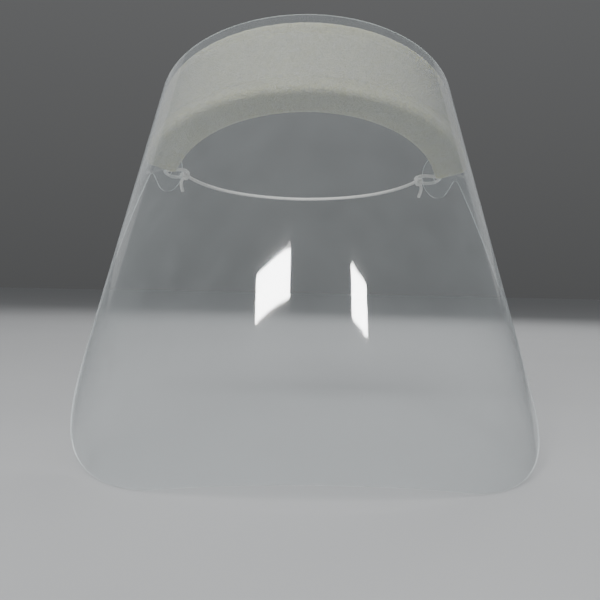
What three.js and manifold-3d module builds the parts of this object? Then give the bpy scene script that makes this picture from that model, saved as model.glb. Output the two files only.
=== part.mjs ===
// Face shield: a clear sheet curled round a foam forehead pad, with an elastic cord tied through
// a hole in the ear tab at each top corner. Millimetres, +Z up, the wearer looks along -Y.
// The origin is the middle of the pad's inner face, where the forehead bears. Left and right are
// as seen from in front, with +X on the right.
import * as THREE from 'three';
import { mergeVertices } from 'three/addons/utils/BufferGeometryUtils.js';
import Module from 'manifold-3d';

// The clear sheet as it is cut, flat: "across" is measured from its centre line and "down" from
// its top edge. The ear tabs stand out past its side edges at the top.
const SHEET_HEIGHT = 228;
const SHEET_HALF_WIDTH = 151;
const SHEET_THICKNESS = 0.5;
const LOWER_CORNER_RADIUS = 85;
const TAB_RADIUS = 13;
const TAB_END = 179;
const NOTCH_RADIUS = 5;
const HOLE_RADIUS = 3.2;

// The sheet as it is worn is part of a cone. Its straight rulings fan out from an apex above it,
// and it turns about them by BEND times the step in fan angle, more and more towards the ears.
const APEX_TO_TOP_EDGE = 346.5;
const FRONT_LEAN = THREE.MathUtils.degToRad(21.8);
const BEND_AT_FRONT = 4.16;
const BEND_SQUARE = 3.7;
const BEND_FOURTH = 24.8;
const FAN_LIMIT = 0.6;
const FAN_STEPS = 240;

// The foam pad, and the adhesive strip that holds it to the sheet's inner face.
const PAD_TOP = 3;
const PAD_HEIGHT = 40;
const PAD_HALF_LENGTH = 123;
const PAD_THICKNESS = 20.5;
const PAD_END_THICKNESS = 18;
const STRIP_THICKNESS = 0.3;
const STRIP_MARGIN = 7;
const GAP = 0.35;
const PAD_FRONT = GAP + STRIP_THICKNESS + GAP;

// The elastic cord and its knots.
const CORD_RADIUS = 1;
const KNOT_RADIUS = 2.6;

// How finely the surfaces are divided, and how far the cutting tools reach past the sheet.
const SHEET_COLUMNS = 60;
const SHEET_ROWS = 9;
const PAD_COLUMNS = 40;
const PAD_ROWS = 3;
const CORD_SIDES = 8;
const BAND_STEPS = 44;
const LOOP_STEPS = 20;
const TAIL_STEPS = 4;
const KNOT_SIDES = 12;
const KNOT_RINGS = 8;
const HOLE_SIDES = 20;
const CUT_REACH = 40;
const CUT_MARGIN = 4;
const CUT_POINTS = 300;

// Routes of the cord's right-hand half; the left-hand half mirrors them. The loop goes from the
// knot, outside the tab, through the hole and back inside it. The band goes round the head.
const LOOP_ROUTE = [
  [76.9, 104.8, -36.7], [80.3, 101.2, -37.3], [83.1, 96.7, -37.0], [84.8, 92.2, -36.0],
  [84.7, 89.1, -35.4], [82.5, 87.6, -35.1], [79.6, 87.3, -34.8], [76.7, 89.3, -34.3],
  [74.7, 93.2, -33.9], [73.3, 98.6, -33.6], [74.0, 103.4, -33.7],
];
const KNOT_CENTRE = [74.5, 106.4, -35.2];
const BAND_ROUTE = [
  [73.6, 109.6, -35.3], [71.6, 117.0, -35.8], [68.6, 125.6, -36.6], [62.4, 139.8, -37.6],
  [53.4, 153.9, -38.6], [43.3, 164.6, -39.3], [31.9, 173.0, -39.8], [16.2, 179.8, -40.2],
  [0, 182, -40.4],
];
const TAIL_ROUTE = [
  [75.2, 107.4, -36.0], [77.0, 110.8, -38.4], [77.6, 115.2, -41.0], [77.2, 119.4, -43.8],
];

const wasm = await Module();
wasm.setup();

/** Rulings of the cone and the directions square to it, for even steps of fan angle. */
function makeFan() {
  const fan = [];
  const ruling = new THREE.Vector3(0, -Math.sin(FRONT_LEAN), -Math.cos(FRONT_LEAN));
  const across = new THREE.Vector3(1, 0, 0);
  const step = FAN_LIMIT / FAN_STEPS;
  for (let i = 0; i <= FAN_STEPS; i++) {
    const inward = new THREE.Vector3().crossVectors(across, ruling);
    fan.push({ ruling: ruling.clone(), inward });
    const angle = i * step + step / 2;
    const bend = BEND_AT_FRONT + BEND_SQUARE * angle ** 2 + BEND_FOURTH * angle ** 4;
    across.applyAxisAngle(ruling, -bend * step);
    ruling.addScaledVector(across, step).normalize();
    across.addScaledVector(ruling, -across.dot(ruling)).normalize();
  }
  return fan;
}

const FAN = makeFan();
const PAD_MIDDLE = PAD_TOP + PAD_HEIGHT / 2;
const APEX = new THREE.Vector3()
  .addScaledVector(FAN[0].ruling, -APEX_TO_TOP_EDGE - PAD_MIDDLE)
  .addScaledVector(FAN[0].inward, -PAD_FRONT - PAD_THICKNESS);

/** Where a point of the flat sheet lies when worn; depth is how far it is inside the sheet. */
function worn(across, down, depth) {
  const fromApex = APEX_TO_TOP_EDGE + down;
  const place = (Math.atan2(Math.abs(across), fromApex) / FAN_LIMIT) * FAN_STEPS;
  const index = Math.min(Math.floor(place), FAN_STEPS - 1);
  const share = place - index;
  const [near, far] = [FAN[index], FAN[index + 1]];
  const ruling = new THREE.Vector3().lerpVectors(near.ruling, far.ruling, share).normalize();
  const inward = new THREE.Vector3().lerpVectors(near.inward, far.inward, share).normalize();
  const point = APEX.clone()
    .addScaledVector(ruling, Math.hypot(across, fromApex))
    .addScaledVector(inward, depth);
  point.x *= across < 0 ? -1 : 1;
  return point;
}

/** Wrap a flat geometry on to the cone: its x is across, its -z is down and its y is depth. */
function wrap(geometry) {
  const position = geometry.getAttribute('position');
  for (let i = 0; i < position.count; i++) {
    const point = worn(position.getX(i), -position.getZ(i), position.getY(i));
    position.setXYZ(i, point.x, point.y, point.z);
  }
  return geometry;
}

/** A closed geometry as a manifold solid. */
function toSolid(geometry) {
  const bare = geometry.clone();
  bare.deleteAttribute('normal');
  bare.deleteAttribute('uv');
  const merged = mergeVertices(bare);
  return new wasm.Manifold(new wasm.Mesh({
    numProp: 3,
    vertProperties: new Float32Array(merged.getAttribute('position').array),
    triVerts: new Uint32Array(merged.getIndex().array),
  }));
}

/** A manifold solid as a geometry. */
function toGeometry(solid) {
  const mesh = solid.getMesh();
  const geometry = new THREE.BufferGeometry();
  geometry.setAttribute('position', new THREE.BufferAttribute(mesh.vertProperties, 3));
  geometry.setIndex(new THREE.BufferAttribute(mesh.triVerts, 1));
  geometry.computeVertexNormals();
  return geometry;
}

/** Everything of the flat blank that is cut away on the right: round the tab and the corner. */
function offcutShape() {
  const cornerX = SHEET_HALF_WIDTH - LOWER_CORNER_RADIUS;
  const cornerY = LOWER_CORNER_RADIUS - SHEET_HEIGHT;
  const tabX = TAB_END - TAB_RADIUS;
  const farX = TAB_END + CUT_MARGIN;
  const shape = new THREE.Shape();
  shape.moveTo(cornerX, -SHEET_HEIGHT);
  shape.absarc(cornerX, cornerY, LOWER_CORNER_RADIUS, -Math.PI / 2, 0, false);
  shape.lineTo(SHEET_HALF_WIDTH, -2 * TAB_RADIUS - NOTCH_RADIUS);
  shape.absarc(SHEET_HALF_WIDTH + NOTCH_RADIUS, -2 * TAB_RADIUS - NOTCH_RADIUS,
    NOTCH_RADIUS, Math.PI, Math.PI / 2, true);
  shape.lineTo(tabX, -2 * TAB_RADIUS);
  shape.absarc(tabX, -TAB_RADIUS, TAB_RADIUS, -Math.PI / 2, Math.PI / 2, false);
  shape.lineTo(tabX, CUT_MARGIN);
  shape.lineTo(farX, CUT_MARGIN);
  shape.lineTo(farX, -SHEET_HEIGHT - CUT_MARGIN);
  shape.lineTo(cornerX, -SHEET_HEIGHT - CUT_MARGIN);
  shape.closePath();
  return new THREE.Shape(shape.getSpacedPoints(CUT_POINTS).slice(0, -1));
}

/** The clear sheet, its corners and tabs cut round and its holes cut through. */
function buildSheet() {
  const blank = new THREE.BoxGeometry(
    2 * TAB_END, SHEET_THICKNESS, SHEET_HEIGHT, SHEET_COLUMNS, 1, SHEET_ROWS);
  blank.translate(0, -SHEET_THICKNESS / 2, -SHEET_HEIGHT / 2);
  const offcut = new THREE.ExtrudeGeometry(offcutShape(), { depth: CUT_REACH, bevelEnabled: false });
  offcut.translate(0, 0, -CUT_REACH / 2);
  offcut.rotateX(Math.PI / 2);
  const hole = new THREE.CylinderGeometry(HOLE_RADIUS, HOLE_RADIUS, CUT_REACH, HOLE_SIDES);
  hole.translate(TAB_END - TAB_RADIUS, 0, -TAB_RADIUS);
  let sheet = toSolid(wrap(blank));
  for (const tool of [toSolid(wrap(offcut)), toSolid(wrap(hole))]) {
    sheet = sheet.subtract(tool).subtract(tool.mirror([1, 0, 0]));
  }
  return toGeometry(sheet);
}

/** The foam pad, wrapped like the sheet and pressed a little thinner towards its ends. */
function buildPad() {
  const pad = new THREE.BoxGeometry(
    2 * PAD_HALF_LENGTH, PAD_THICKNESS, PAD_HEIGHT, PAD_COLUMNS, 1, PAD_ROWS);
  pad.translate(0, 0, -PAD_MIDDLE);
  const position = pad.getAttribute('position');
  for (let i = 0; i < position.count; i++) {
    const towardsEnd = (position.getX(i) / PAD_HALF_LENGTH) ** 2;
    const thickness = PAD_THICKNESS - (PAD_THICKNESS - PAD_END_THICKNESS) * towardsEnd;
    position.setY(i, position.getY(i) > 0 ? PAD_FRONT + thickness : PAD_FRONT);
  }
  return wrap(pad);
}

/** The thin adhesive strip between the pad and the sheet. */
function buildStrip() {
  const length = 2 * (PAD_HALF_LENGTH - STRIP_MARGIN);
  const height = PAD_HEIGHT - 2 * STRIP_MARGIN;
  const strip = new THREE.BoxGeometry(length, STRIP_THICKNESS, height, PAD_COLUMNS, 1, PAD_ROWS);
  strip.translate(0, GAP + STRIP_THICKNESS / 2, -PAD_MIDDLE);
  return wrap(strip);
}

/** Route points as vectors, mirrored when side is -1. */
function routePoints(route, side) {
  return route.map(([x, y, z]) => new THREE.Vector3(side * x, y, z));
}

/** A round cord along points. */
function buildCord(points, steps) {
  const section = new THREE.Shape();
  section.absarc(0, 0, CORD_RADIUS, 0, 2 * Math.PI, false);
  return new THREE.ExtrudeGeometry(section, {
    steps,
    curveSegments: CORD_SIDES,
    extrudePath: new THREE.CatmullRomCurve3(points),
  });
}

/** The band of cord behind the head, from knot to knot. */
function buildBand() {
  const right = routePoints(BAND_ROUTE, 1);
  const left = routePoints(BAND_ROUTE, -1).slice(0, -1).reverse();
  return buildCord([...right, ...left], BAND_STEPS);
}

/** A knot with the short tail of cord that is left outside it. */
function buildKnot(side) {
  const knot = new THREE.SphereGeometry(KNOT_RADIUS, KNOT_SIDES, KNOT_RINGS);
  knot.translate(side * KNOT_CENTRE[0], KNOT_CENTRE[1], KNOT_CENTRE[2]);
  const tail = buildCord(routePoints(TAIL_ROUTE, side), TAIL_STEPS);
  return toGeometry(toSolid(knot).add(toSolid(tail)));
}

const clear = { color: 0xe4ebee, roughness: 0.05, metalness: 0 };
const tape = { color: 0xd9dbd6, roughness: 0.5, metalness: 0 };
const foam = { color: 0xb4b6aa, roughness: 0.95, metalness: 0 };
const elastic = { color: 0xf1f1ee, roughness: 0.85, metalness: 0 };

const shield = new THREE.Group();

function addPiece(name, geometry, finish) {
  const piece = new THREE.Mesh(geometry, new THREE.MeshStandardMaterial(finish));
  piece.name = name;
  shield.add(piece);
}

addPiece('visor_sheet', buildSheet(), clear);
addPiece('pad_adhesive_strip', buildStrip(), tape);
addPiece('forehead_pad', buildPad(), foam);
addPiece('elastic_band', buildBand(), elastic);
for (const [hand, side] of [['left', -1], ['right', 1]]) {
  addPiece(`${hand}_tab_loop`, buildCord(routePoints(LOOP_ROUTE, side), LOOP_STEPS), elastic);
  addPiece(`${hand}_knot`, buildKnot(side), elastic);
}

export default shield;
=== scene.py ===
"""Face shield: a clear sheet curled round a foam forehead pad, held by an elastic cord tied
through the ear tabs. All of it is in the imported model's frame. The shield's own dimensions are
in mm, and MM turns them into Blender's metres. The camera, floor and lights are in metres.
Left and right are as seen from in front, with +X on the right."""
import math

import bmesh
import bpy
import numpy as np
from mathutils import Matrix, Vector
from mathutils.geometry import delaunay_2d_cdt


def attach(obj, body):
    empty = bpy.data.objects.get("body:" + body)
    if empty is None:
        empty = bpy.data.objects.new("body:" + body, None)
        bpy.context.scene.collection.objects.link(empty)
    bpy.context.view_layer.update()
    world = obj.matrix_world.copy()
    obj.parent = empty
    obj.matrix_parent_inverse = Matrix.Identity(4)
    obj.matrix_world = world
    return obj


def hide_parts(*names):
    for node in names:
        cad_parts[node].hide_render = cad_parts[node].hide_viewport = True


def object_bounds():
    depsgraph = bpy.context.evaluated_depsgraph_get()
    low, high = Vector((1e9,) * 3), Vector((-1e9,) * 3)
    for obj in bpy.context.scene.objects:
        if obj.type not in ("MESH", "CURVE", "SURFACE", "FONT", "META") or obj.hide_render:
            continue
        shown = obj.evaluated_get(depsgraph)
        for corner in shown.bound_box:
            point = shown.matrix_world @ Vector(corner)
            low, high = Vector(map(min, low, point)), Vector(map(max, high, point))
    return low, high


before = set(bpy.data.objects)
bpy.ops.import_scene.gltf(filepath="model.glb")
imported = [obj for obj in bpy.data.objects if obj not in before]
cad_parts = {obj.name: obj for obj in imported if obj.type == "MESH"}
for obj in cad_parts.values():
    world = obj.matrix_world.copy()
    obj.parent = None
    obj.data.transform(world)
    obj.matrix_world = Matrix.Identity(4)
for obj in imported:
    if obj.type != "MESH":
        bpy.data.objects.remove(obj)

CAD_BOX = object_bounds()
MM = 0.001
VISOR, HEADBAND = "visor", "headband"
UP = (0.0, 0.0, 1.0)

# ---------------------------------------------------------------- camera, in metres
CAMERA_AT = Vector((-0.0196, -0.4138, -0.1060))
CAMERA_VIEW = Vector((0.0375, 0.9993, 0.0)).normalized()
CAMERA_UP = Vector((-0.0204, 0.0008, 0.9998))
CAMERA_LENS, CAMERA_SENSOR = 49.0, 36.0
CAMERA_SHIFT_Y = -0.0183
CAMERA_NEAREST = 0.01


def make_camera():
    data = bpy.data.cameras.new("camera")
    data.lens = CAMERA_LENS
    data.sensor_width = CAMERA_SENSOR
    data.shift_y = CAMERA_SHIFT_Y
    data.clip_start = CAMERA_NEAREST
    obj = bpy.data.objects.new("camera", data)
    right = CAMERA_VIEW.cross(CAMERA_UP).normalized()
    up = right.cross(CAMERA_VIEW)
    turn = Matrix((right, up, -CAMERA_VIEW)).transposed().to_4x4()
    obj.matrix_world = Matrix.Translation(CAMERA_AT) @ turn
    bpy.context.scene.collection.objects.link(obj)
    bpy.context.scene.camera = obj


make_camera()

# ---------------------------------------------------------------- shape of the worn sheet, in mm
# The sheet as it is cut, flat: "across" is measured from its centre line, "down" from its top edge.
SHEET_HEIGHT, SHEET_HALF_WIDTH, SHEET_THICKNESS = 228.0, 151.0, 0.5
CORNER_RADIUS, TAB_RADIUS, TAB_END, NOTCH_RADIUS, HOLE_RADIUS = 85.0, 13.0, 179.0, 5.0, 3.2

# As it is worn it is part of a cone. Its straight rulings fan out from an apex above it, and it
# turns about them by "bend" times the step in fan angle, more and more towards the ears.
APEX_TO_TOP, FRONT_LEAN = 346.5, math.radians(21.8)
BEND_AT_FRONT, BEND_SQUARE, BEND_FOURTH = 4.16, 3.7, 24.8
FAN_LIMIT, FAN_STEPS = 0.6, 240

# The pad. PAD_FRONT is how far its front face lies inwards from the sheet's inner face.
PAD_TOP, PAD_HEIGHT, PAD_HALF_LENGTH = 3.0, 40.0, 123.0
PAD_THICKNESS, PAD_END_THICKNESS, PAD_FRONT = 20.5, 18.0, 1.0
PAD_MIDDLE = PAD_TOP + PAD_HEIGHT / 2


def turned(vector, axis, angle):
    """A vector turned about a unit axis."""
    c, s = math.cos(angle), math.sin(angle)
    return vector * c + np.cross(axis, vector) * s + axis * np.dot(axis, vector) * (1 - c)


def make_fan():
    """Rulings of the cone, and the directions square to it, for even steps of fan angle."""
    rulings, inwards = [], []
    ruling = np.array((0.0, -math.sin(FRONT_LEAN), -math.cos(FRONT_LEAN)))
    across = np.array((1.0, 0.0, 0.0))
    step = FAN_LIMIT / FAN_STEPS
    for i in range(FAN_STEPS + 1):
        rulings.append(ruling.copy())
        inwards.append(np.cross(across, ruling))
        angle = i * step + step / 2
        bend = BEND_AT_FRONT + BEND_SQUARE * angle**2 + BEND_FOURTH * angle**4
        across = turned(across, ruling, -bend * step)
        ruling = ruling + across * step
        ruling /= np.linalg.norm(ruling)
        across = across - ruling * np.dot(across, ruling)
        across /= np.linalg.norm(across)
    return np.array(rulings), np.array(inwards)


RULINGS, INWARDS = make_fan()
APEX = -RULINGS[0] * (APEX_TO_TOP + PAD_MIDDLE) - INWARDS[0] * (PAD_FRONT + PAD_THICKNESS)


def worn(across, down, depth):
    """Where points of the flat sheet lie when worn, in mm, and the direction inwards there."""
    across, down, depth = np.broadcast_arrays(*(np.asarray(v, float) for v in (across, down, depth)))
    from_apex = APEX_TO_TOP + down
    place = np.arctan2(np.abs(across), from_apex) / FAN_LIMIT * FAN_STEPS
    index = np.minimum(place.astype(int), FAN_STEPS - 1)
    share = (place - index)[..., None]
    ruling = RULINGS[index] * (1 - share) + RULINGS[index + 1] * share
    inward = INWARDS[index] * (1 - share) + INWARDS[index + 1] * share
    ruling /= np.linalg.norm(ruling, axis=-1, keepdims=True)
    inward /= np.linalg.norm(inward, axis=-1, keepdims=True)
    points = APEX + ruling * np.hypot(across, from_apex)[..., None] + inward * depth[..., None]
    side = np.where(across < 0, -1.0, 1.0)
    mirror = np.stack([side, np.ones_like(side), np.ones_like(side)], axis=-1)
    return points * mirror, inward * mirror


# ---------------------------------------------------------------- the elastic, in mm
# Its routes on the right, and to the middle of the back. The left-hand side mirrors them.
LOOP_ROUTE = [
    (76.9, 104.8, -36.7), (80.3, 101.2, -37.3), (83.1, 96.7, -37.0), (84.8, 92.2, -36.0),
    (84.7, 89.1, -35.4), (82.5, 87.6, -35.1), (79.6, 87.3, -34.8), (76.7, 89.3, -34.3),
    (74.7, 93.2, -33.9), (73.3, 98.6, -33.6), (74.0, 103.4, -33.7),
]
KNOT_CENTRE = (74.5, 106.4, -35.2)
BAND_ROUTE = [
    (73.6, 109.6, -35.3), (71.6, 117.0, -35.8), (68.6, 125.6, -36.6), (62.4, 139.8, -37.6),
    (53.4, 153.9, -38.6), (43.3, 164.6, -39.3), (31.9, 173.0, -39.8), (16.2, 179.8, -40.2),
    (0.0, 182.0, -40.4),
]
TAIL_ROUTE = [
    (75.2, 107.4, -36.0), (77.0, 110.8, -38.4), (77.6, 115.2, -41.0), (77.2, 119.4, -43.8),
]

# The braid rises and falls by up to BRAID_RELIEF, and repeats every BRAID_STEP along the cord.
CORD_RADIUS = 1.0
BRAID_STRANDS, BRAID_RELIEF, BRAID_STEP = 12, 0.08, 1.5
CORD_MEAN_RADIUS = CORD_RADIUS - BRAID_RELIEF / 2
CORD_SIDES, RING_GAP, CURVE_SAMPLES = 36, 0.25, 40
# the end caps bulge out by the first value; the second sets how light the painted shade leaves them,
# from 0 as in the braid's hollows to 1 as on its crests
CAP_BULGE, CAP_RELIEF_SHADE = 0.3, 0.6

# The knot's strand winds at KNOT_REACH from the cord's middle line, and sways by KNOT_SWING.
KNOT_STRAND_RADIUS = 0.98
KNOT_REACH, KNOT_SWING = 1.55, 0.85
KNOT_POINTS = 200
INTO_KNOT = 0.45  # how far the strands run in, as a share of the way to the knot's middle

# The loose fibres at the tails' cut ends, with (least, most) for what differs between them.
FRAY_COUNT, FRAY_SEED = 16, 7
FRAY_OFF_CENTRE, FRAY_LENGTH, FRAY_FLARE = (0.1, 0.82), (0.7, 1.5), (0.1, 0.5)
FRAY_RADIUS, FRAY_TAPER, FRAY_START = 0.08, 0.7, -0.3
# the last value sets how light the painted shade leaves the loose fibres, on the same scale
FRAY_STEPS, FRAY_SIDES, FRAY_RELIEF_SHADE = 4, 4, 0.8


def mirrored(route, side):
    return np.array([(side * x, y, z) for x, y, z in route])


def catmull_rom(route, spacing):
    """Evenly spaced points on a centripetal Catmull-Rom curve through the route."""
    p = np.asarray(route, float)
    p = np.vstack([2 * p[0] - p[1], p, 2 * p[-1] - p[-2]])
    dense = []
    for a, b, c, d in zip(p[:-3], p[1:-2], p[2:-1], p[3:]):
        t0 = 0.0
        t1 = t0 + math.sqrt(np.linalg.norm(b - a))
        t2 = t1 + math.sqrt(np.linalg.norm(c - b))
        t3 = t2 + math.sqrt(np.linalg.norm(d - c))
        for t in np.linspace(t1, t2, CURVE_SAMPLES, endpoint=False):
            a1 = (t1 - t) / (t1 - t0) * a + (t - t0) / (t1 - t0) * b
            a2 = (t2 - t) / (t2 - t1) * b + (t - t1) / (t2 - t1) * c
            a3 = (t3 - t) / (t3 - t2) * c + (t - t2) / (t3 - t2) * d
            b1 = (t2 - t) / (t2 - t0) * a1 + (t - t0) / (t2 - t0) * a2
            b2 = (t3 - t) / (t3 - t1) * a2 + (t - t1) / (t3 - t1) * a3
            dense.append((t2 - t) / (t2 - t1) * b1 + (t - t1) / (t2 - t1) * b2)
    dense.append(p[-2])
    dense = np.array(dense)
    run = np.concatenate([[0], np.cumsum(np.linalg.norm(np.diff(dense, axis=0), axis=1))])
    count = max(3, int(round(run[-1] / spacing)) + 1)
    at = np.linspace(0, run[-1], count)
    return np.stack([np.interp(at, run, dense[:, k]) for k in range(3)], axis=1)


# ---------------------------------------------------------------- mesh and node helpers
NOISE_ROUGHNESS = 0.55


def add_mesh(name, verts_mm, faces, materials, smooth=True):
    mesh = bpy.data.meshes.new(name)
    mesh.from_pydata((np.asarray(verts_mm) * MM).tolist(), [], faces)
    for item in materials:
        mesh.materials.append(item)
    if smooth:
        mesh.shade_smooth()
    mesh.update()
    obj = bpy.data.objects.new(name, mesh)
    bpy.context.scene.collection.objects.link(obj)
    return obj


def tube_faces(rings, sides, closed=False):
    """The quads between rings of vertices that follow one another."""
    faces = []
    for i in range(rings if closed else rings - 1):
        here, there = i * sides, (i + 1) % rings * sides
        for k in range(sides):
            j = (k + 1) % sides
            faces.append((here + k, here + j, there + j, there + k))
    return faces


def rgba(colour):
    return (*colour, 1.0)


class Nodes:
    """A material's node tree, built up one node at a time. The scale of a noise or of cells is
    about how many of them there are to the metre."""

    def __init__(self, name):
        self.material = bpy.data.materials.new(name)
        self.material.use_nodes = True
        self.tree = self.material.node_tree
        self.shader = self.tree.nodes["Principled BSDF"]
        self.output = self.tree.nodes["Material Output"]
        self.place = self.add("ShaderNodeTexCoord").outputs["Object"]

    def add(self, kind, settings=None, **inputs):
        node = self.tree.nodes.new(kind)
        for key, value in (settings or {}).items():
            setattr(node, key, value)
        self.fill(node, **inputs)
        return node

    def fill(self, node, **inputs):
        """Set a node's inputs by name, with _ for each space in the name."""
        for key, value in inputs.items():
            self.set(node, key.replace("_", " "), value)

    def set(self, node, socket, value):
        """Set an input to a value, or link it to another node's output."""
        target = node.inputs[socket]
        if isinstance(value, bpy.types.NodeSocket):
            self.tree.links.new(value, target)
        else:
            target.default_value = value

    def ordered(self, kind, settings, *values):
        """A node whose first inputs are given in order."""
        node = self.add(kind, settings)
        for socket, value in enumerate(values):
            self.set(node, socket, value)
        return node.outputs[0]

    def noise(self, scale, detail=3.0):
        node = self.add("ShaderNodeTexNoise", Scale=scale, Detail=detail, Roughness=NOISE_ROUGHNESS,
                        Vector=self.place)
        return node.outputs["Fac"]

    def cells(self, scale, feature="F1"):
        """Distance from the middles of scattered cells."""
        node = self.add("ShaderNodeTexVoronoi", {"feature": feature}, Scale=scale, Vector=self.place)
        return node.outputs["Distance"]

    def ramp(self, factor, low, high, first=0.3, last=0.7):
        """A colour that goes from low, at first, to high, at last."""
        node = self.add("ShaderNodeValToRGB", Fac=factor)
        for element, at, colour in zip(node.color_ramp.elements, (first, last), (low, high)):
            element.position = at
            element.color = rgba(colour)
        return node.outputs["Color"]

    def spread(self, factor, low, high, first=0.3, last=0.7):
        """A number that goes from low, at first, to high, at last."""
        node = self.add("ShaderNodeMapRange", To_Min=low, To_Max=high, From_Min=first, From_Max=last,
                        Value=factor)
        return node.outputs["Result"]

    def bump(self, height, distance, strength=1.0, normal=None):
        node = self.add("ShaderNodeBump", Strength=strength, Distance=distance, Height=height)
        if normal is not None:
            self.set(node, "Normal", normal)
        return node.outputs["Normal"]

    def calculate(self, operation, *values):
        return self.ordered("ShaderNodeMath", {"operation": operation}, *values)

    def mix(self, factor, first, second):
        return self.ordered("ShaderNodeMixShader", None, factor, first, second)


# ---------------------------------------------------------------- materials
HEAD_ON = 0.05  # the share of light that one face of the sheet mirrors head on
GRAZING_POWER = 5.0  # the higher it is, the later the mirroring grows towards edge on
HAZE = (0.026, 0.036)  # the least and the most that one face of the sheet hides head on
LEAST_SLANT = 0.1  # the haze thickens as the sheet is seen more edge on, down to this cosine
SHEET_GLOSS = 0.035  # the roughness of what it mirrors
FOAM_SCATTER = 0.009  # how far light spreads inside the foam, in metres


def clear_material():
    """Thin clear plastic: what is behind shows through, it mirrors more at grazing angles, it is
    very slightly wavy, and a faint uneven haze lies on it, which is denser seen edge on."""
    n = Nodes("clear_sheet")
    wave = n.bump(n.noise(11.0, 1.0), 0.0004)
    edge_on = n.add("ShaderNodeLayerWeight", Blend=0.5, Normal=wave).outputs["Facing"]
    grazing = n.calculate("POWER", edge_on, GRAZING_POWER)
    mirrors = n.calculate("MULTIPLY_ADD", grazing, 1.0 - HEAD_ON, HEAD_ON)
    slant = n.calculate("MAXIMUM", n.calculate("SUBTRACT", 1.0, edge_on), LEAST_SLANT)
    haze = n.calculate("DIVIDE", n.spread(n.noise(60.0, 5.0), *HAZE), slant)
    through = n.add("ShaderNodeBsdfTransparent", Color=rgba((0.968, 0.976, 0.978)))
    mirror = n.add("ShaderNodeBsdfAnisotropic", Roughness=SHEET_GLOSS, Color=rgba((1.0, 1.0, 1.0)),
                   Normal=wave)
    n.fill(n.shader, Base_Color=rgba((0.80, 0.86, 0.88)), Roughness=n.spread(n.noise(160.0), 0.3, 0.5))
    sheet = n.mix(mirrors, through.outputs[0], mirror.outputs[0])
    n.set(n.output, "Surface", n.mix(haze, sheet, n.shader.outputs[0]))
    return n.material


def edge_material():
    """The sheet's cut edge, which gathers light and looks paler than its faces."""
    n = Nodes("clear_sheet_edge")
    n.fill(n.shader,
           Base_Color=n.ramp(n.noise(300.0), (0.78, 0.85, 0.87), (0.93, 0.97, 0.98)),
           Roughness=n.spread(n.noise(900.0), 0.18, 0.36),
           Normal=n.bump(n.noise(1800.0), 0.00005))
    return n.material


def foam_material():
    """Fine open foam: small cells painted darker away from their middles as shade in its pores,
    uneven tone and a soft, slightly lit-through surface.
    """
    n = Nodes("pad_foam")
    cell = n.cells(1150.0)
    tone = n.ramp(n.noise(260.0, 5.0), (0.420, 0.416, 0.342), (0.450, 0.446, 0.372))
    # painted shade: each cell darkens away from its middle, for the shade in the foam's pores
    pore_shade = n.ramp(cell, (0.97, 0.97, 0.97), (0.80, 0.80, 0.78), 0.35, 0.85)
    rough = n.bump(n.noise(420.0, 4.0), 0.0005, 0.8)
    n.fill(n.shader,
           Base_Color=n.ordered("ShaderNodeVectorMath", {"operation": "MULTIPLY"}, tone, pore_shade),
           Roughness=n.spread(cell, 0.85, 1.0),
           Normal=n.bump(cell, 0.0005, 0.8, rough),
           Subsurface_Weight=0.8,
           Subsurface_Radius=(1.0, 0.95, 0.5),
           Subsurface_Scale=FOAM_SCATTER,
           Specular_IOR_Level=0.2,
           Sheen_Weight=0.15)
    return n.material


def tape_material():
    """Clear adhesive film: the foam shows through its faint milkiness, with fine wrinkles and
    small trapped bubbles."""
    n = Nodes("adhesive_strip")
    spots = n.cells(260.0, "SMOOTH_F1")
    wrinkles = n.bump(n.noise(480.0), 0.0002, 0.5)
    n.fill(n.shader,
           Base_Color=n.ramp(n.noise(300.0, 5.0), (0.76, 0.76, 0.72), (0.84, 0.84, 0.80)),
           Roughness=n.spread(spots, 0.4, 0.62),
           Normal=n.bump(spots, 0.00012, 0.6, wrinkles),
           Specular_IOR_Level=0.35)
    film = n.add("ShaderNodeBsdfTransparent", Color=rgba((1.0, 1.0, 1.0)))
    milk = n.spread(spots, 0.065, 0.05, 0.1, 0.6)
    n.set(n.output, "Surface", n.mix(milk, film.outputs[0], n.shader.outputs[0]))
    return n.material


def elastic_material():
    """White braided elastic: shade is painted darker into the hollows between its strands, and its
    skin is a little fibrous."""
    n = Nodes("elastic_cord")
    relief_shade = n.add("ShaderNodeAttribute", {"attribute_name": "relief_shade"}).outputs["Fac"]
    # painted shade: the braid's hollows are painted darker than its crests
    n.fill(n.shader,
           Base_Color=n.ramp(relief_shade, (0.50, 0.49, 0.46), (0.87, 0.86, 0.83), 0.1, 0.75),
           Roughness=n.spread(n.noise(2600.0), 0.68, 0.92),
           Normal=n.bump(n.noise(5200.0, 2.0), 0.00008, 0.7),
           Sheen_Weight=0.35)
    return n.material


CLEAR, EDGE, FOAM = clear_material(), edge_material(), foam_material()
TAPE, ELASTIC = tape_material(), elastic_material()


# ---------------------------------------------------------------- braided cord
def frames_along(path, closed=False):
    """The way along the path at each point, and two directions square to it, carried along
    without twist. On a closed path the turn that is left over at the end is shared out along it."""
    if closed:
        tangents = np.roll(path, -1, axis=0) - np.roll(path, 1, axis=0)
    else:
        tangents = np.gradient(path, axis=0)
    tangents /= np.linalg.norm(tangents, axis=1, keepdims=True)
    side = np.cross(tangents[0], UP)
    sides = []
    for tangent in [*tangents, tangents[0]]:
        side = side - tangent * np.dot(side, tangent)
        side = side / np.linalg.norm(side)
        sides.append(side)
    carried, sides = sides[-1], np.array(sides[:-1])
    others = np.cross(tangents, sides)
    if not closed:
        return tangents, sides, others
    left_over = math.atan2(np.dot(carried, others[0]), np.dot(carried, sides[0]))
    turn = (-left_over * np.arange(len(path)) / len(path))[:, None]
    c, s = np.cos(turn), np.sin(turn)
    return tangents, sides * c + others * s, others * c - sides * s


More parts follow.
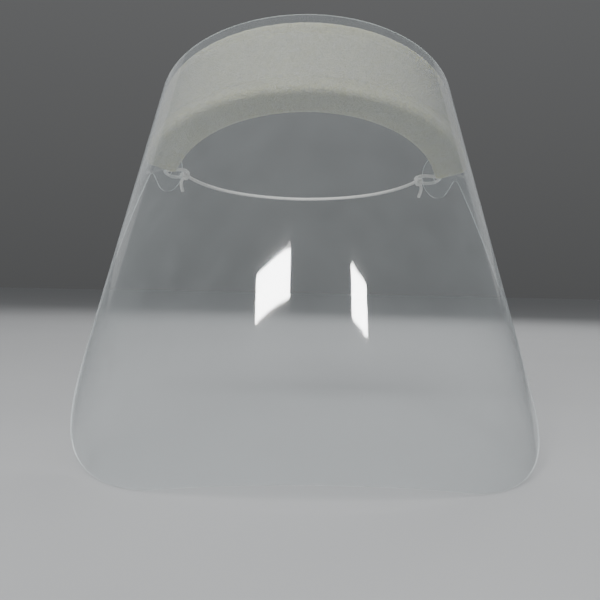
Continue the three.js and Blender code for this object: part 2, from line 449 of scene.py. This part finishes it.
def braid(path, radius, closed=False):
    """Vertices, faces and the relief that sets the painted shade of a braided cord along evenly spaced
    points, in mm.
    """
    count = len(path)
    tangents, first, second = frames_along(path, closed)
    gaps = np.linalg.norm(np.roll(path, -1, axis=0) - path, axis=1)
    run = np.concatenate([[0], np.cumsum(gaps)])[:count]
    turns = run / BRAID_STEP
    if closed:
        turns = run / gaps.sum() * round(gaps.sum() / BRAID_STEP)
    angle = np.linspace(0, 2 * math.pi, CORD_SIDES, endpoint=False)
    bumps = np.cos(BRAID_STRANDS / 2 * angle)[None, :] * np.cos(2 * math.pi * turns)[:, None]
    reach = radius + BRAID_RELIEF * bumps
    c, s = np.cos(angle)[None, :, None], np.sin(angle)[None, :, None]
    ring = c * first[:, None] + s * second[:, None]
    verts = (path[:, None] + ring * reach[..., None]).reshape(-1, 3)
    faces = tube_faces(count, CORD_SIDES, closed)
    # the relief drives painted shade: 0 in the hollows between the strands, painted darkest, to 1 on
    # their crests
    relief_shade = (0.5 + 0.5 * bumps).reshape(-1)
    if not closed:
        caps = [path[0] - tangents[0] * CAP_BULGE, path[-1] + tangents[-1] * CAP_BULGE]
        verts = np.vstack([verts, *caps])
        relief_shade = np.concatenate([relief_shade, [CAP_RELIEF_SHADE, CAP_RELIEF_SHADE]])
        start, end, last = len(verts) - 2, len(verts) - 1, (count - 1) * CORD_SIDES
        for k in range(CORD_SIDES):
            j = (k + 1) % CORD_SIDES
            faces.append((start, j, k))
            faces.append((end, last + k, last + j))
    return verts, faces, relief_shade


def joined(parts):
    """Several (vertices, faces, relief for the painted shade) as one."""
    verts, faces, relief_shade, base = [], [], [], 0
    for v, f, r in parts:
        verts.append(v)
        relief_shade.append(r)
        faces.extend(tuple(i + base for i in face) for face in f)
        base += len(v)
    return np.vstack(verts), faces, np.concatenate(relief_shade)


def cord_object(name, parts, node):
    verts, faces, relief_shade = joined(parts)
    obj = add_mesh(name, verts, faces, [ELASTIC])
    # the relief is kept on the mesh for the painted shade of the elastic's material
    attribute = obj.data.attributes.new("relief_shade", "FLOAT", "POINT")
    attribute.data.foreach_set("value", relief_shade.astype(np.float32))
    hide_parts(node)
    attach(obj, HEADBAND)
    return obj


def into_knot(point, middle):
    """Where a strand that meets the knot at this point ends, inside the knot."""
    return point + (middle - point) * INTO_KNOT


def make_loop(hand, side):
    middle = mirrored([KNOT_CENTRE], side)[0]
    route = mirrored(LOOP_ROUTE, side)
    route = np.vstack([into_knot(route[0], middle), route, into_knot(route[-1], middle)])
    path = catmull_rom(route, RING_GAP)
    return cord_object(f"{hand}_elastic_loop", [braid(path, CORD_MEAN_RADIUS)], f"{hand}_tab_loop")


def knot_path(side):
    """An overhand knot drawn tight, as a closed strand wound twice round the cord, in mm."""
    ends = (np.array(LOOP_ROUTE[0]) + LOOP_ROUTE[-1]) / 2
    along = np.array(BAND_ROUTE[0]) - ends
    along /= np.linalg.norm(along)
    out = np.cross(along, UP)
    out /= np.linalg.norm(out)
    over = np.cross(out, along)
    t = np.linspace(0, 2 * math.pi, KNOT_POINTS, endpoint=False)[:, None]
    reach = KNOT_REACH + KNOT_SWING * np.cos(3 * t)
    wound = out * reach * np.cos(2 * t) + over * reach * np.sin(2 * t)
    wound = wound + along * KNOT_SWING * np.sin(3 * t)
    return (wound + KNOT_CENTRE) * (side, 1, 1)


def fibre(end, along, radial, off_centre, length, flare):
    """One loose fibre, a thin tapered tube that bends away from the middle of the cord's end."""
    path = np.array([end + radial * (off_centre + flare * s * s) + along * (length * s + FRAY_START)
                     for s in np.linspace(0, 1, FRAY_STEPS + 1)])
    _, a, b = frames_along(path)
    turns = [2 * math.pi * k / FRAY_SIDES for k in range(FRAY_SIDES)]
    verts = []
    for i, point in enumerate(path):
        radius = FRAY_RADIUS * (1 - FRAY_TAPER * i / FRAY_STEPS)
        verts += [point + radius * (a[i] * math.cos(q) + b[i] * math.sin(q)) for q in turns]
    first_ring, last_ring = range(FRAY_SIDES), range(FRAY_STEPS * FRAY_SIDES, len(verts))
    faces = tube_faces(FRAY_STEPS + 1, FRAY_SIDES) + [tuple(reversed(first_ring)), tuple(last_ring)]
    return np.array(verts), faces, np.full(len(verts), FRAY_RELIEF_SHADE)


def fray(end, along, seed):
    """The loose fibres at a cut end."""
    rng = np.random.default_rng(seed)
    across = np.cross(along, UP)
    across /= np.linalg.norm(across)
    other = np.cross(along, across)
    fibres = []
    for _ in range(FRAY_COUNT):
        turn, off_centre = rng.uniform(0, 2 * math.pi), rng.uniform(*FRAY_OFF_CENTRE)
        length, flare = rng.uniform(*FRAY_LENGTH), rng.uniform(*FRAY_FLARE)
        radial = across * math.cos(turn) + other * math.sin(turn)
        fibres.append(fibre(end, along, radial, off_centre, length, flare))
    return fibres


def make_knot(hand, side):
    """The knot with its short tail, frayed at the end."""
    tail = catmull_rom(mirrored(TAIL_ROUTE, side), RING_GAP)
    tail_way = (tail[-1] - tail[-4]) / np.linalg.norm(tail[-1] - tail[-4])
    parts = [braid(knot_path(side), KNOT_STRAND_RADIUS, closed=True), braid(tail, CORD_MEAN_RADIUS)]
    parts += fray(tail[-1], tail_way, FRAY_SEED + side)
    return cord_object(f"{hand}_tied_knot", parts, f"{hand}_knot")


knot_and_loops = []
for hand, side in (("left", -1), ("right", 1)):
    knot_and_loops += [make_loop(hand, side), make_knot(hand, side)]

right_half = np.array(BAND_ROUTE)
right_half = np.vstack([into_knot(right_half[0], np.array(KNOT_CENTRE)), right_half])
left_half = right_half[:-1][::-1] * (-1, 1, 1)
band_path = catmull_rom(np.vstack([right_half, left_half]), RING_GAP)
band = cord_object("elastic_headband", [braid(band_path, CORD_MEAN_RADIUS)], "elastic_band")


# ---------------------------------------------------------------- clear sheet, in mm
TAB_POINTS, NOTCH_POINTS, CORNER_POINTS, HOLE_POINTS = 40, 14, 60, 36
STRAIGHT_GAP, LEAST_GAP = 3.0, 0.05  # between points of the outline
GRID_ACROSS, GRID_DOWN, GRID_CLEARANCE = 2.5, 6.0, 1.3
FILL_HULL, SAME_POINT = 0, 1e-6  # how the flat sheet is cut into triangles
HOLE_ACROSS = TAB_END - TAB_RADIUS


def arc(centre, radius, start, end, count):
    """Points on an arc between two angles in degrees."""
    return [(centre[0] + radius * math.cos(a), centre[1] + radius * math.sin(a))
            for a in np.radians(np.linspace(start, end, count))]


def line(a, b):
    count = max(2, int(math.dist(a, b) / STRAIGHT_GAP))
    return [tuple(np.array(a) + (np.array(b) - a) * t) for t in np.linspace(0, 1, count)]


def sheet_outline():
    """The cut edge of the flat sheet, as (across, down) points in mm."""
    corner = (SHEET_HALF_WIDTH - CORNER_RADIUS, SHEET_HEIGHT - CORNER_RADIUS)
    notch = (SHEET_HALF_WIDTH + NOTCH_RADIUS, 2 * TAB_RADIUS + NOTCH_RADIUS)
    right = line((0, 0), (HOLE_ACROSS, 0))
    right += arc((HOLE_ACROSS, TAB_RADIUS), TAB_RADIUS, -90, 90, TAB_POINTS)
    right += line((HOLE_ACROSS, 2 * TAB_RADIUS), (notch[0], 2 * TAB_RADIUS))
    right += arc(notch, NOTCH_RADIUS, 270, 180, NOTCH_POINTS)
    right += line((SHEET_HALF_WIDTH, notch[1]), (SHEET_HALF_WIDTH, corner[1]))
    right += arc(corner, CORNER_RADIUS, 0, 90, CORNER_POINTS)
    right += line((corner[0], SHEET_HEIGHT), (0, SHEET_HEIGHT))
    kept = [right[0]]
    for point in right[1:]:
        if math.dist(point, kept[-1]) > LEAST_GAP:
            kept.append(point)
    return np.array(kept + [(-x, y) for x, y in kept[-2:0:-1]])


def inside(points, ring):
    """Which points lie inside a closed ring."""
    x, y = points[:, 0], points[:, 1]
    hit = np.zeros(len(points), bool)
    for (x0, y0), (x1, y1) in zip(ring, np.roll(ring, -1, axis=0)):
        crosses = (y0 > y) != (y1 > y)
        with np.errstate(divide="ignore", invalid="ignore"):
            hit ^= crosses & (x < (x1 - x0) * (y - y0) / (y1 - y0) + x0)
    return hit


def in_sheet(points, outline, holes):
    """Which points lie inside the outline and outside the holes."""
    found = inside(points, outline)
    for hole in holes:
        found &= ~inside(points, hole)
    return found


def flat_sheet():
    """The flat sheet's points and triangles, with the tab holes cut out. Every triangle winds the
    same way."""
    outline = sheet_outline()
    turn = np.linspace(0, 2 * math.pi, HOLE_POINTS, endpoint=False)
    rim = np.stack([np.cos(turn), np.sin(turn)], axis=1) * HOLE_RADIUS
    holes = [rim + (HOLE_ACROSS, TAB_RADIUS), rim + (-HOLE_ACROSS, TAB_RADIUS)]
    xs, ys = np.meshgrid(np.arange(-TAB_END, TAB_END + 1, GRID_ACROSS),
                         np.arange(0, SHEET_HEIGHT + 1, GRID_DOWN))
    grid = np.stack([xs.ravel(), ys.ravel()], axis=1)
    grid = grid[in_sheet(grid, outline, holes)]
    rims = np.vstack([outline, *holes])
    clearance = np.array([np.min(np.linalg.norm(rims - point, axis=1)) for point in grid])
    flat = np.vstack([rims, grid[clearance > GRID_CLEARANCE]])
    edges, base = [], 0
    for ring in (outline, *holes):
        edges += [(base + i, base + (i + 1) % len(ring)) for i in range(len(ring))]
        base += len(ring)
    out = delaunay_2d_cdt([Vector(p) for p in flat.tolist()], edges, [], FILL_HULL, SAME_POINT)
    points, triangles = np.array([tuple(p) for p in out[0]]), np.array(out[2])
    triangles = triangles[in_sheet(points[triangles].mean(axis=1), outline, holes)]
    a, b, c = (points[triangles[:, k]] for k in range(3))
    area = (b[:, 0] - a[:, 0]) * (c[:, 1] - a[:, 1]) - (b[:, 1] - a[:, 1]) * (c[:, 0] - a[:, 0])
    triangles[area < 0] = triangles[area < 0][:, ::-1]
    return points, triangles


def make_visor():
    """Two faces with the sheet's thickness between them, and a wall along every cut edge."""
    points, triangles = flat_sheet()
    outer, inward = worn(points[:, 0], points[:, 1], -SHEET_THICKNESS)
    inner, _ = worn(points[:, 0], points[:, 1], 0.0)
    count = len(points)
    p, q, r = (outer[triangles[0, k]] for k in range(3))
    facing_out = np.dot(np.cross(q - p, r - p), -inward[triangles[0, 0]]) > 0
    outward = (triangles if facing_out else triangles[:, ::-1]).tolist()
    faces = [tuple(t) for t in outward]
    faces += [tuple(i + count for i in reversed(t)) for t in outward]
    ways = [way for a, b, c in outward for way in ((a, b), (b, c), (c, a))]
    known = set(ways)
    first_wall = len(faces)
    faces += [(j, i, i + count, j + count) for i, j in ways if (j, i) not in known]
    obj = add_mesh("clear_visor", np.vstack([outer, inner]), faces, [CLEAR, EDGE])
    face_normals = np.vstack([-inward, inward])
    normals = []
    for polygon in obj.data.polygons:
        wall = polygon.index >= first_wall
        polygon.material_index = 1 if wall else 0
        normals += [tuple(polygon.normal if wall else face_normals[v]) for v in polygon.vertices]
    obj.data.normals_split_custom_set(normals)
    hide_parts("visor_sheet")
    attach(obj, VISOR)


make_visor()


# ---------------------------------------------------------------- foam pad, in mm
TOP_CORNER, LOWER_CORNER, INNER_CORNER, END_ROUND = 1.6, 3.6, 2.6, 1.8
CORNER_POINTS_OF_PAD = 6
END_ANGLES = np.radians(np.linspace(15, 75, 5))
FRONT_SHARE = 0.35  # how much of the ends' rounding is on the pad's front face
PAD_GAP = 1.3  # between neighbouring vertices
PAD_CROWN, PAD_PUCKER, PAD_ROUGHNESS = 0.7, 0.35, 0.07
PAD_SPLAY = 0.012  # how much taller the pad is at its inner face, as a share of its height
CUT_WANDER = 0.32  # how far the pad's long cut edges stray from straight
RIM_POWER = 6  # the higher it is, the closer to the rim that straying keeps
GRAIN_ONSET = 4  # the grain is at its full depth from 1 / GRAIN_ONSET of the thickness inwards
PAD_SEED = 11
WAVE_PHASE, WAVE_WEIGHT = (0, 6.28), (0.4, 1.0)
PUCKER_PITCH, PUCKER_WAVES = (0.25, 0.75), 6  # pitches are in radians per mm
WANDER_PITCH, WANDER_WAVES = (0.15, 1.6), 5


def random_waves(rng, pitch, count):
    """Waves as (pitch, phase, weight)."""
    return [(rng.uniform(*pitch), rng.uniform(*WAVE_PHASE), rng.uniform(*WAVE_WEIGHT))
            for _ in range(count)]


def wave_height(waves, across):
    return sum(weight * math.sin(pitch * across + phase) for pitch, phase, weight in waves) / len(waves)


def pad_section(thickness, inset):
    """A slice of the pad as (down, depth) offsets, rounded at its corners, in mm."""
    half = PAD_HEIGHT / 2 - inset
    front, back = inset * FRONT_SHARE, thickness - inset
    corners = ((half, front, LOWER_CORNER, -90), (half, back, INNER_CORNER, 0),
               (-half, back, INNER_CORNER, 90), (-half, front, TOP_CORNER, 180))
    points = []
    for x, y, radius, start in corners:
        centre = (x - math.copysign(radius, x), y + (radius if y == front else -radius))
        points += arc(centre, radius, start, start + 90, CORNER_POINTS_OF_PAD)
    closed = np.array(points + points[:1])
    run = np.concatenate([[0], np.cumsum(np.linalg.norm(np.diff(closed, axis=0), axis=1))])
    at = np.linspace(0, run[-1], int(2 * (PAD_HEIGHT + PAD_THICKNESS) / PAD_GAP), endpoint=False)
    return np.stack([np.interp(at, run, closed[:, k]) for k in range(2)], axis=1)


def pad_stations():
    """Where the pad is sliced, as (across, inset). The insets round its two ends."""
    rounded = [(-PAD_HALF_LENGTH + END_ROUND * (1 - math.cos(a)), END_ROUND * (1 - math.sin(a)))
               for a in END_ANGLES]
    straight = PAD_HALF_LENGTH - END_ROUND
    count = int(2 * PAD_HALF_LENGTH / PAD_GAP)
    middle = [(across, 0.0) for across in np.linspace(-straight, straight, count)]
    return rounded + middle + [(-across, inset) for across, inset in reversed(rounded)]


def pad_rings():
    """The worn pad's slices: crowned towards the head, with unevenly cut edges and a fine grain."""
    rng = np.random.default_rng(PAD_SEED)
    pucker = random_waves(rng, PUCKER_PITCH, PUCKER_WAVES)
    lower_wander = random_waves(rng, WANDER_PITCH, WANDER_WAVES)
    top_wander = random_waves(rng, WANDER_PITCH, WANDER_WAVES)
    rings = []
    for across, inset in pad_stations():
        towards_end = (across / PAD_HALF_LENGTH) ** 2
        thickness = PAD_THICKNESS - (PAD_THICKNESS - PAD_END_THICKNESS) * towards_end
        down, depth = pad_section(thickness, inset).T
        level = np.clip(depth / thickness, 0, 1)
        rimward = np.clip(np.abs(down) / (PAD_HEIGHT / 2), 0, 1)
        crown = PAD_CROWN + PAD_PUCKER * wave_height(pucker, across)
        depth = depth + level**3 * (1 - rimward**2) * crown
        wander = np.where(down > 0, wave_height(lower_wander, across), wave_height(top_wander, across))
        down = down * (1 + PAD_SPLAY * level**2) + CUT_WANDER * rimward**RIM_POWER * wander
        grain = rng.normal(0, 1, len(down)) * PAD_ROUGHNESS * np.clip(level * GRAIN_ONSET, 0, 1)
        points, _ = worn(np.full(len(down), across), down + PAD_MIDDLE, depth + PAD_FRONT + grain)
        rings.append(points)
    return rings


def make_pad():
    rings = pad_rings()
    sides = len(rings[0])
    first_hub, last_ring = len(rings) * sides, (len(rings) - 1) * sides
    faces = [(a, d, c, b) for a, b, c, d in tube_faces(len(rings), sides)]
    faces += [(first_hub, k, (k + 1) % sides) for k in range(sides)]
    faces += [(first_hub + 1, last_ring + (k + 1) % sides, last_ring + k) for k in range(sides)]
    hubs = [rings[0].mean(axis=0), rings[-1].mean(axis=0)]
    obj = add_mesh("foam_pad", np.vstack([*rings, *hubs]), faces, [FOAM])
    work = bmesh.new()
    work.from_mesh(obj.data)
    bmesh.ops.recalc_face_normals(work, faces=work.faces)
    work.to_mesh(obj.data)
    work.free()
    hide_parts("forehead_pad")
    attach(obj, VISOR)


make_pad()

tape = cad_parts["pad_adhesive_strip"]
tape.data.materials.clear()
tape.data.materials.append(TAPE)

# ---------------------------------------------------------------- floor, world and lights, in metres
FLOOR_SIZE, FLOOR_CLEARANCE = 30.0, 0.0006
FLOOR_COLOUR, FLOOR_SHADE = (0.54, 0.55, 0.56), 0.97
WORLD_TINT = (0.97, 0.985, 1.0)
HORIZON_LIGHT, ZENITH_LIGHT = 0.09, 0.21
SHIELD_MIDDLE = (0, 0, -0.05)
PANE = (0.0, -0.064, -0.107)  # where the sheet mirrors the windows


def make_floor(level):
    n = Nodes("floor")
    shade = tuple(c * FLOOR_SHADE for c in FLOOR_COLOUR)
    n.fill(n.shader, Base_Color=n.ramp(n.noise(5.0), shade, FLOOR_COLOUR), Roughness=0.75)
    h, z = FLOOR_SIZE / 2 / MM, level / MM
    floor = add_mesh("floor", [(-h, -h, z), (h, -h, z), (h, h, z), (-h, h, z)], [(0, 1, 2, 3)],
                     [n.material], smooth=False)


def make_world():
    """Soft light that grows from the horizon, where it meets the far floor's tone, upwards."""
    world = bpy.data.worlds.new("studio")
    world.use_nodes = True
    nodes, links = world.node_tree.nodes, world.node_tree.links
    height = nodes.new("ShaderNodeSeparateXYZ")
    links.new(nodes.new("ShaderNodeTexCoord").outputs["Generated"], height.inputs[0])
    level = nodes.new("ShaderNodeMapRange")
    level.inputs["To Min"].default_value = HORIZON_LIGHT
    level.inputs["To Max"].default_value = ZENITH_LIGHT
    links.new(height.outputs["Z"], level.inputs["Value"])
    background = nodes["Background"]
    background.inputs["Color"].default_value = rgba(WORLD_TINT)
    links.new(level.outputs[0], background.inputs["Strength"])
    bpy.context.scene.world = world


def softbox(name, at, towards, size, power, side=(1.0, 0.0, 0.0), in_gloss=True, in_diffuse=True):
    """A rectangular light. size is its width and height, in metres, side is the direction of its
    width, and power is in watts. in_gloss and in_diffuse say whether glossy and matt surfaces
    get its light."""
    data = bpy.data.lights.new(name, "AREA")
    data.shape = "RECTANGLE"
    data.size, data.size_y = size
    data.energy = power
    obj = bpy.data.objects.new(name, data)
    back = (Vector(at) - Vector(towards)).normalized()
    width = Vector(side)
    width = (width - back * width.dot(back)).normalized()
    turn = Matrix((width, back.cross(width), back)).transposed().to_4x4()
    obj.matrix_world = Matrix.Translation(Vector(at)) @ turn
    obj.visible_camera = False
    obj.visible_glossy = in_gloss
    obj.visible_diffuse = in_diffuse
    bpy.context.scene.collection.objects.link(obj)


def make_lights():
    """Two windows that are only mirrored, and soft light from all round."""
    softbox("window_left", at=(-0.394, -1.002, 0.846), towards=PANE, size=(0.382, 0.102), power=10.0,
            side=(0.367, -0.071, 0.079), in_diffuse=False)
    softbox("window_right", at=(0.569, -0.969, 0.802), towards=PANE, size=(0.172, 0.113), power=5.0,
            side=(0.157, 0.042, -0.057), in_diffuse=False)
    softbox("front_soft", at=(-0.35, -1.7, 0.85), towards=SHIELD_MIDDLE, size=(1.1, 0.7), power=50.0,
            in_gloss=False)
    softbox("overhead", at=(0.0, 0.2, 1.9), towards=SHIELD_MIDDLE, size=(1.8, 1.8), power=4.0)
    softbox("back_soft", at=(0.4, 1.7, 1.2), towards=SHIELD_MIDDLE, size=(1.2, 0.7), power=13.0)
    for name, side in (("side_left", -1), ("side_right", 1)):
        softbox(name, at=(side * 1.0, 1.35, 0.7), towards=SHIELD_MIDDLE, size=(0.7, 1.2), power=0.6,
                side=(0.80, -0.60 * side, 0.0))


make_floor(CAD_BOX[0][2] - FLOOR_CLEARANCE)
make_world()
make_lights()
